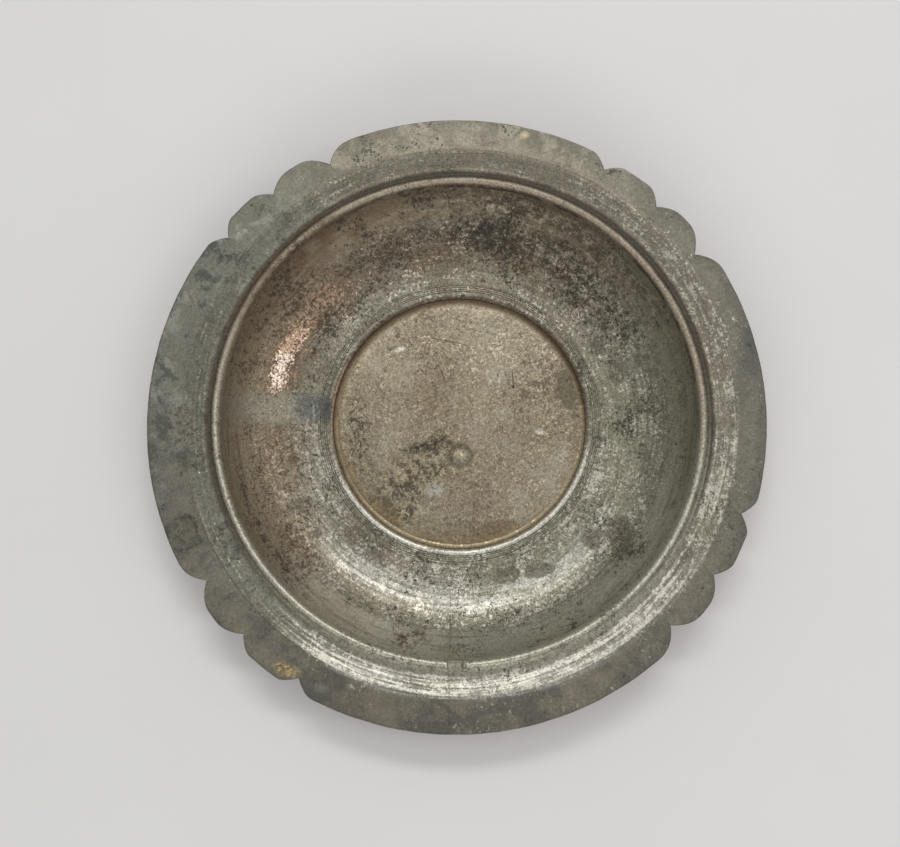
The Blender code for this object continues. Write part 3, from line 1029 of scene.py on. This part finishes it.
def disc_material():
    s = Surface("tinned_centre", DISC_FILM, 0.45, 0.85, 20)
    g = s.g
    s.lay((s.clouds * 0.5 + s.patches * 0.6).rise(0.54, 0.66) * 0.65, DISC_BROWN, 0.5)
    s.lay((s.clouds * 0.5 + s.patches * 0.6).rise(0.54, 0.42) * 0.65, DISC_PALE, 0.42)
    s.stain((-18, 12, 22, 10, 12, 0.8, 0.8, 9, 23), 0.45, DISC_BROWN, 0.5)
    bright = g.spot(20, 30, 28, 17, -30, 0.7, 0.7, 12, 24)
    s.lay(bright * 0.4, DISC_SOFT, 0.42)
    s.stain((-24, 24, 12, 9, 30, 0.7, 0.8, 8, 24.5), 0.4, CREAM, 0.42)
    s.clean_flecks(bright * 0.03 - 0.02, 0.6, DISC_FLECK, 0.38)
    s.dark_spots(-0.005, 0.55, DISC_DIRT)
    # Corroded field at the lower left
    field = g.spot(-21, -27, 22, 9, 50, 0.7, 0.9, 8, 26)
    s.lay(field * 0.3, DISC_FIELD, 0.52, 0.7)
    rot_noise = g.grain(3, 5, 0.85, 27, warp=0.6)
    rot = (rot_noise + field * 0.026 + (s.patches - 0.5) * 0.1).rise(0.545, 0.565)
    s.lay(rot * field.rise(0, 0.45) * 0.76, UMBER, 0.66, 0.5, -1)
    s.lay(rot_noise.rise(0.45, 0.42) * field.rise(0, 0.4) * 0.6, STRAW, 0.44, 0.85)
    chain = g.spot(-15, -10.5, 9, 1.8, 10, 0.6, 1.4, 3, 28)
    s.lay(chain * s.spots.rise(0.47, 0.53) * 0.85, GREEN_SOOT, 0.66, 0.4, -0.8)
    left = g.spot(-43, -8, 6, 20, 6, 0.8, 0.9, 5, 29)
    s.lay(left * g.grain(1.9, 4, 0.8, 30).rise(0.505, 0.57) * 0.85, DIRT, 0.66, 0.4, -0.6)
    # Smooth dull patches at the right and lower edges
    s.stain((45.6, 14, 3.6, 8.8, 10, 0.08, 0.6, 5, 31), 0.9, DISC_PATCH, 0.47, 0.75, 0.4)
    s.stain((14.5, -45, 9, 3.2, 16, 0.25, 0.8, 6, 32), 0.75, DISC_STAIN, 0.48, 0.75, 0.3)
    s.stain((-32, -35, 5, 8, 42, 0.5, 0.8, 6, 33), 0.6, DISC_STAIN, 0.5, 0.7)
    # Ring dent holds dirt; a few rubbed spots
    dx, dy = g.x - RING_DENT[0], g.y - RING_DENT[1]
    reach = (dx * dx + dy * dy + 0.01).power(0.5)
    s.lay((reach - 4.3).size().rise(1.9, 0.3) * (0.4 + s.patches * 0.5), DISC_DIRT, 0.52, 0.6)
    s.stain((*RING_DENT, 1.6, 1.3, 20, 0.6, 0.9, 2, 34), 0.5, STRAW, 0.4, 0.9)
    s.stain((-10, -28.5, 3.2, 2.6, 0, 0.8, 1, 2.4, 35), 0.55, TIN_RUBBED, 0.34, 1)
    s.stain((34, -4, 2.2, 1, -20, 0.6, 1.2, 1.6, 36), 0.6, TIN_BRIGHT, 0.3, 1)
    s.stain((-25.5, 31.5, 2.4, 1, 10, 0.6, 1.2, 1.6, 37), 0.6, TIN_BRIGHT, 0.3, 1)
    # Plain scratches and ticks
    lines = (
        (-12, 36.5, -2, 34.6, 0.2), (-2, 34.6, 3.6, 33.2, 0.14), (22.6, 22.5, 23, 15.6, 0.26),
        (-7.6, 22.4, -6.2, 17.4, 0.26), (-3.6, 21, -4.4, 18.4, 0.22), (-22, 36, -20, 33.4, 0.26),
        (-30, 4, -8, 12, 0.1), (-26, -4, -2, 6, 0.1), (6, 40, 20, 37, 0.1),
        (14, -8, 33, -19, 0.1), (-36, 12, -30, 26, 0.1),
    )
    for x0, y0, x1, y1, width in lines:
        s.lay(g.scratch(x0, y0, x1, y1, width) * 0.8, DIRT, 0.6, 0.5, -1)
    s.stain((23, 15.2, 0.5, 0.7, 0, 0.3, 0.3, 0.6, 38), 0.9, PIT, 0.7, 0.3, -1)
    # Golden brown residue towards the edge, and painted shade at the very edge
    edge = s.uneven(8).rise(45.5, 51)
    s.lay(edge * g.facing(235).rise(-0.3, 0.9) * 0.7, DISC_GOLD, 0.5, 0.75)
    pale = edge * g.facing(120).rise(-0.2, 0.8) * (s.flecks + 0.05).rise(0.48, 0.6)
    s.lay(pale * 0.6, DISC_EDGE_PALE, 0.42, 0.9)
    # Painted shade: a dark rim round the disc where the step shades it, fainter towards the lower right
    last = s.uneven(4, s.flecks).rise(50.2, 51.4) * (0.65 - g.facing(300).rise(-0.2, 0.9) * 0.5)
    s.lay(last, DISC_EDGE_SHADE, 0.54, 0.7)
    s.grit()
    return s.done(s.flecks * 0.5 + s.patches * 0.5)


def flange_material():
    s = Surface("tinned_flange", FILM, 0.42, 0.9, 50)
    g = s.g
    streaks = g.brushed(30, 1.2, 54, 4)
    hair = g.brushed(12, 0.8, 55, 3)
    r = g.radius
    upslope = s.uneven(4).rise(102.6, 104.8) * s.uneven(5).rise(114.5, 111)
    outer = s.uneven(4).rise(110.6, 114)
    lower = g.facing(292).rise(0.05, 0.9)
    # Film: clouds, greenish left, paler top, bluish right edge, brown-grey bottom
    s.lay(s.clouds.rise(0.5, 0.66) * 0.5, FILM_LIGHT, 0.42)
    s.lay(s.clouds.rise(0.48, 0.34) * 0.6, FILM_DARK, 0.52)
    mottle = g.grain(6, 5, 0.72, 51, warp=0.4)
    s.lay(mottle.rise(0.53, 0.6) * 0.4, RIM_DARK, 0.5, 0.8)
    s.lay(mottle.rise(0.47, 0.41) * 0.35, FILM_LIGHT, 0.4)
    dx, dy = g.x - RIM_CENTRE[0], g.y - RIM_CENTRE[1]
    brim = (dx * dx + dy * dy).power(0.5) + (mottle - 0.5) * 5
    s.lay(brim.rise(119.5, 123) * (0.65 - g.facing(120).rise(0.2, 0.9) * 0.35), SLATE_DARK, 0.5, 0.75)
    s.lay(outer * g.sector(100, 42, 30) * 0.6, RIM_TOP_FILM, 0.44)
    top = outer * g.sector(88, 40, 20) * (g.grain(11, 4, 0.65, 53, warp=0.4) + 0.02)
    s.lay(top.rise(0.5, 0.6) * 0.55, SMEAR, 0.42)
    s.lay(upslope * g.sector(75, 60, 30) * 0.45, RIM_WARM, 0.42)
    left = g.sector(180, 38, 30)
    s.lay(left * (0.4 + s.patches * 0.7).at_most(0.9), RIM_GREEN, 0.5, 0.75)
    s.lay(left * g.grain(10, 5, 0.66, 56, warp=0.4).rise(0.51, 0.59) * 0.7, RIM_GREEN_LIGHT, 0.44)
    s.lay(left * g.grain(9, 5, 0.7, 57, warp=0.4).rise(0.52, 0.6) * 0.75, RIM_GREEN_DARK, 0.55, 0.6)
    s.lay(outer * g.sector(10, 32, 20) * 0.6, SKIN, 0.48)
    s.stain((121.5, 36, 4.6, 24, -16, 0.7, 0.9, 9, 58), 0.8, SLATE_DARK, 0.48, 0.75)
    bottom = outer * g.facing(255).rise(0.1, 0.8)
    s.lay(bottom * (0.3 + s.patches * 0.6).at_most(0.9), RIM_LOW_FILM, 0.48, 0.8)
    slate = g.grain(12, 4, 0.6, 52, warp=0.5)
    s.lay(bottom * slate.rise(0.49, 0.57) * 0.55, SLATE_DARK, 0.46, 0.8)
    s.lay(bottom * slate.rise(0.47, 0.4) * 0.4, RIM_WARM, 0.46, 0.85)
    # Painted shade: the upslope darkened on the left, where the right-hand lamp would light it
    s.lay(upslope * g.sector(200, 40, 20) * 0.5, RIM_DARK, 0.52, 0.75)
    # Brushed band between the bead and the scribed line
    streaky = streaks.rise(0.5, 0.62)
    # Lighter turning streaks, made stronger on the lower side as a painted highlight
    s.lay(upslope * streaky * (0.25 + lower * 0.4), FILM_LIGHT, 0.36, 0.95)
    # Painted sheen: brighter brushed tin where the key lamp's highlight falls on the lower upslope
    painted_sheen = upslope * g.sector(281, 18, 36)
    s.lay(painted_sheen * (0.38 + (streaks - 0.5) * 3).at_most(0.85).at_least(0), PAINTED_SHEEN_BRUSHED, 0.27, 1)
    rubbed = upslope * (lower * 0.08 + (streaks - 0.5) * 0.5 + 0.02) - outer * 0.05 - left * 0.08 - 0.02
    rubbed = rubbed - g.sector(100, 26, 24) * 0.05 + upslope * g.sector(30, 26, 20) * 0.04
    s.clean_flecks(rubbed + (hair - 0.5) * 0.25, 0.55, TIN_FLECK)
    s.lay(upslope * hair.rise(0.44, 0.34) * 0.5, FILM_DARK, 0.5)
    # Groove beside the bead: painted shade, dark except on the lower side, black at the upper right, and
    # a painted highlight of pale tin on the lower side
    groove = s.uneven(1.6).rise(104.2, 102.2)
    s.lay(groove * (0.92 - g.facing(280).rise(0, 0.9) * 0.85), GROOVE_SHADE, 0.56, 0.6)
    s.lay(groove * g.sector(55, 62, 30) * 0.6, SOOT, 0.6, 0.4)
    s.lay(groove * g.sector(285, 30, 30) * 0.7, PALE_TIN, 0.38, 0.95)
    scribed = (r - SCRIBE_RADIUS).size().rise(0.28, 0.08) * (0.2 + g.sector(222, 16, 12) * 0.6)
    s.lay(scribed * (s.spots * 1.5).rise(0.5, 0.8), UMBER, 0.55, 0.7, -0.6)
    # Stains and pits
    s.dark_spots(left * 0.02 - outer * 0.02 - 0.055, 0.6)
    s.pits((60, 61), -0.03, 0.65)
    # Blank corroded patch at the lower left, brassy spots
    px, py = patch_place(g.x, g.y)
    round_square = (px * px * px * px * (1 / 5.6 ** 4) + py * py * py * py * (1 / 6.2 ** 4)).power(0.25)
    square = round_square + (g.grain(4.5, 4, 0.7, 62) - 0.5) * 0.9
    s.lay(square.rise(1.25, 0.95) * 0.55, RIM_DARK, 0.58, 0.6)
    rim = (square - 1).size().rise(0.22, 0.05) * (s.spots + s.patches * 0.4).rise(0.64, 0.76)
    s.lay(rim * 0.75, GREEN_SOOT, 0.62, 0.5, -0.6)
    s.lay(square.rise(1, 0.7) * s.spots.rise(0.5, 0.58) * 0.6, UMBER, 0.62, 0.5, -0.4)
    green = square.rise(1.15, 0.8) * g.grain(2.2, 4, 0.8, 63).rise(0.54, 0.62)
    s.lay(green * 0.6, VERDIGRIS, 0.66, 0.4, 0.4)
    brass = g.spot(-67.5, -101, 4.6, 2.2, -22, 0.7, 1.3, 3, 64)
    s.lay(brass * 0.75, BRASS, 0.42, 0.9, 0.3)
    s.lay(brass * s.spots.rise(0.5, 0.6) * 0.8, PIT, 0.66, 0.4)
    s.lay(brass * s.flecks.rise(0.5, 0.58) * 0.8, BRASS_BRIGHT, 0.34, 1)
    s.stain((27.8, 117.6, 1.8, 1.4, 0, 0.5, 1.2, 2, 67), 0.75, STRAW, 0.42, 0.9, 0.3)
    s.stain((-54, -108, 2.4, 1.6, -20, 0.6, 1, 2, 68), 0.5, RIM_GREEN_LIGHT, 0.48, 0.8, 0.3)
    # Seam, filed flush
    seam = (g.x - SEAM_LINE + (g.grain(5, 2, 0.5, 69) - 0.5) * 0.8).size().rise(0.5, 0.1)
    s.lay(seam * g.y.rise(-100, -102) * (s.spots * 1.4).rise(0.5, 0.9) * 0.4, DEEP_BROWN, 0.6, 0.5, -0.6)
    s.grit(2, 1, 1 - painted_sheen * 0.3 - outer * 0.35)
    return s.done(s.flecks * 0.4 + hair * upslope * 0.8 + streaks * 0.4)


def bead_material():
    s = Surface("tinned_bead", BEAD_FILM, 0.54, 0.7, 70)
    g = s.g
    streaks = g.brushed(18, 1, 73)
    crest = s.ring(BEAD_RADIUS + 0.15, 1.5, 0.5, 1.2)
    s.lay(g.sector(20, 60, 30) * 0.7, BEAD_DULL, 0.5)
    s.lay(g.sector(235, 60, 30) * 0.7, PALE_TIN, 0.46)
    s.lay(g.sector(312, 40, 24) * 0.75, BEAD_GREY, 0.46)
    s.lay(crest * 0.4, BEAD_CREST, 0.5, 0.75)
    s.clean_flecks(crest * 0.03 - 0.03, 0.6)
    s.lay((s.patches + s.flecks * 0.5).rise(0.78, 0.92) * 0.6, BROWN, 0.52, 0.7)
    lower = g.facing(285).rise(0, 0.9)
    across = s.uneven(0.9) - BEAD_RADIUS
    inner_flank = across.rise(-2, -1.5) * across.rise(0.7, -0.1) * (1 - lower)
    s.lay(inner_flank * 0.85, BEAD_WARM, 0.5, 0.25)
    # Painted shade: the outer flank of the bead darkened, except on the lower side
    s.lay(across.rise(0.7, 1.5) * (0.88 - lower * 0.88), DIRT, 0.62, 0.3)
    # Painted highlight: the inner side of the bead made pale on the lower side, where it faces the key
    # lamp
    inner_side = (g.radius - BEAD_RADIUS).rise(0.4, -0.8) * lower
    s.lay(inner_side * 0.8, BEAD_LIT_PAINTED, 0.44, 0.4)
    # Painted highlight: a bright line just inside the crest on the lower half
    crest_line = s.ring(BEAD_RADIUS - 0.25, 1.5, 0.4, 0.8)
    s.lay(crest_line * g.sector(262, 72, 30) * 0.75, BEAD_HIGHLIGHT_PAINTED, 0.42, 0.8)
    rust = g.sector(139, 12, 10)
    s.lay(rust * (s.flecks + 0.1).rise(0.5, 0.7) * 0.8, BROWN, 0.6, 0.6)
    inner_dirt = (s.uneven(2) - BEAD_RADIUS).rise(-1.1, -1.9) * g.sector(60, 50, 20)
    s.lay(inner_dirt * (s.patches + s.flecks * 0.4).rise(0.62, 0.74) * 0.85, SOOT, 0.6, 0.5)
    s.dark_spots(-0.03, 0.7)
    gap = (g.x + 1.4).size().rise(3.3, 2.9) * g.y.rise(-90, -92)
    s.lay(gap * 0.85, DISC_PALE, 0.46, 0.6)
    s.grit()
    return s.done(s.flecks * 0.4 + streaks * 0.4)


def spelter_material():
    s = Surface("golden_spelter", SPELTER, 0.5, 0.45, 80)
    g = s.g
    s.lay((s.patches + s.flecks * 0.6).rise(0.68, 0.92) * 0.7, SPELTER_DARK, 0.52, 0.6)
    # Painted highlight: lighter on the lower side
    s.lay(g.facing(285).rise(0, 0.8) * 0.8, STRAW, 0.45, 0.45)
    # Painted shade: darker brown on the upper side, against the step
    dark = g.facing(85).rise(-0.2, 0.7) * s.uneven(2, s.flecks).rise(51.2, 52.4)
    s.lay(dark * 0.85, STEP_SHADE_PAINTED, 0.56, 0.6)
    s.lay(s.flecks.rise(0.52, 0.62) * g.facing(305).rise(0, 0.8) * 0.8, SPELTER_FLECK, 0.36, 0.9)
    s.grit(2.2, 1.2)
    return s.done(s.flecks, 0.08)


def solder_material():
    s = Surface("seam_solder", FILM, 0.48, 0.85, 85)
    s.clean_flecks(0, 0.8)
    s.dark_spots(0.03)
    s.grit()
    return s.done(s.flecks, 0.08)


def underside_material():
    """Bare copper of the back: reddish brown, smoky, with turned and hammered traces."""
    s = Surface("bare_copper_back", COPPER, 0.42, 0.9, 100)
    g = s.g
    streaks = g.brushed(40, 2, 103)
    s.lay(s.clouds.rise(0.46, 0.6) * 0.8, COPPER_SMOKED, 0.52, 0.75)
    s.lay(s.patches.rise(0.54, 0.44) * 0.5, COPPER_CLEAN, 0.34, 1)
    s.lay(streaks.rise(0.54, 0.66) * 0.5, COPPER_STREAK, 0.45)
    s.clean_flecks(-0.08, 0.6, COPPER_FLECK)
    s.dark_spots(0, 0.75, SOOT)
    s.lay(g.grain(9, 5, 0.7, 104).rise(0.6, 0.66) * 0.5, COPPER_GREEN, 0.62, 0.4)
    s.grit()
    return s.done(streaks * 0.6 + g.grain(9, 1, 0.5, 105) * 2, 0.08)


def floor_material():
    g = Graph("pale_floor")
    soft = g.grain(60, 3, 0.5, 90)
    fine = g.grain(1.2, 3, 0.6, 91)
    colour = g.blend(FLOOR_GREY, FLOOR_PALE, soft)
    return g.finish(colour, fine * 0.1 + 0.6, 0, fine, 0.05, 0.3)


# ---------------------------------------------------------------- light, floor and camera

ROOM_COLOUR = (0.97, 0.98, 1, 1)
ROOM_STRENGTH = 0.41
LAMP_AIM = (0, 0, 0.01)
# Name, place, size, radiance and colour of each lamp
LAMPS = (
    ("key_above", (0.05, 0.7, 1.22), (0.8, 0.22), 8.5, (1, 0.99, 0.975)),
    ("overhead", (0, 0.2, 1.35), (1.2, 0.42), 0.85, (1, 1, 1)),
    ("side_right", (0.8, -0.05, 1.1), (0.3, 0.5), 2.2, (1, 0.97, 0.93)),
    ("low_front", (0, -1.25, 0.75), (1.8, 0.5), 1.7, (1, 1, 1)),
)
FLOOR_HALF = 12
FLOOR_DROP = 0.0003
LENS = 46
SENSOR = 36
CLIP = (0.01, 10)
CAMERA_AIM = (-0.0033, -0.0029, 0.02)
CAMERA_REACH = 0.468
CAMERA_LEAN = (math.radians(1.7), math.radians(7.6))


def add_lamp(name, place, size, radiance, colour):
    """Rectangular lamp; radiance is what its surface shows in a mirror."""
    light = bpy.data.lights.new(name, "AREA")
    light.shape = "RECTANGLE"
    light.size, light.size_y = size
    light.energy = radiance * math.pi * size[0] * size[1]
    light.color = colour
    obj = bpy.data.objects.new(name, light)
    bpy.context.collection.objects.link(obj)
    obj.location = place
    obj.rotation_euler = (Vector(LAMP_AIM) - Vector(place)).to_track_quat("-Z", "Y").to_euler()


def build_world():
    world = bpy.data.worlds.new("soft_room")
    world.use_nodes = True
    background = world.node_tree.nodes["Background"]
    background.inputs["Color"].default_value = ROOM_COLOUR
    background.inputs["Strength"].default_value = ROOM_STRENGTH
    bpy.context.scene.world = world


def build_floor():
    mesh = bpy.data.meshes.new("floor")
    corners = [(FLOOR_HALF * i, FLOOR_HALF * j, 0) for i, j in ((-1, -1), (1, -1), (1, 1), (-1, 1))]
    mesh.from_pydata(corners, [], [(0, 1, 2, 3)])
    floor = bpy.data.objects.new("floor", mesh)
    bpy.context.collection.objects.link(floor)
    floor.location.z = -FLOOR_DROP
    mesh.materials.append(floor_material())


def build_camera():
    """Nearly over the plate, leaning a little towards -Y, with +Y up in the picture."""
    data = bpy.data.cameras.new("camera")
    data.sensor_width = SENSOR
    data.lens = LENS
    data.clip_start, data.clip_end = CLIP
    camera = bpy.data.objects.new("camera", data)
    bpy.context.collection.objects.link(camera)
    to_right, to_front = CAMERA_LEAN
    lean = Vector((math.tan(to_right), -math.tan(to_front), 1)).normalized()
    right = (-lean).cross(Vector((0, 1, 0))).normalized()
    up = right.cross(-lean)
    axes = Matrix((right, up, lean)).transposed().to_4x4()
    camera.matrix_world = Matrix.Translation(Vector(CAMERA_AIM) + lean * CAMERA_REACH) @ axes
    bpy.context.scene.camera = camera


# ---------------------------------------------------------------- assembly

def build_plate():
    copper = underside_material()
    bowl = bowl_material()
    flange = flange_material()
    solder = solder_material()
    pieces = (
        (build_disc(disc_material(), copper), "base_disc", "tinned_base"),
        (build_disc_spelter(spelter_material()), "base_spelter_ring", "brass_spelter"),
        (build_bowl(bowl, copper), "bowl_wall", "tinned_wall"),
        (build_bowl_seam(bowl), "wall_seam_spelter", "brass_spelter"),
        (build_flange(flange, copper), "rim_flange", "tinned_flange"),
        (build_flange_seam(flange), "rim_seam_solder", "tin_solder"),
        (build_flange_solder(solder), "rim_solder_ring", "tin_solder"),
        (build_bead(bead_material()), "bead_ring", "tinned_bead"),
    )
    for piece, node, slot in pieces:
        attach(piece, "root")
        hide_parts(node)


bpy.context.scene.view_settings.view_transform = "Standard"
build_plate()
build_floor()
build_world()
for lamp in LAMPS:
    add_lamp(*lamp)
build_camera()
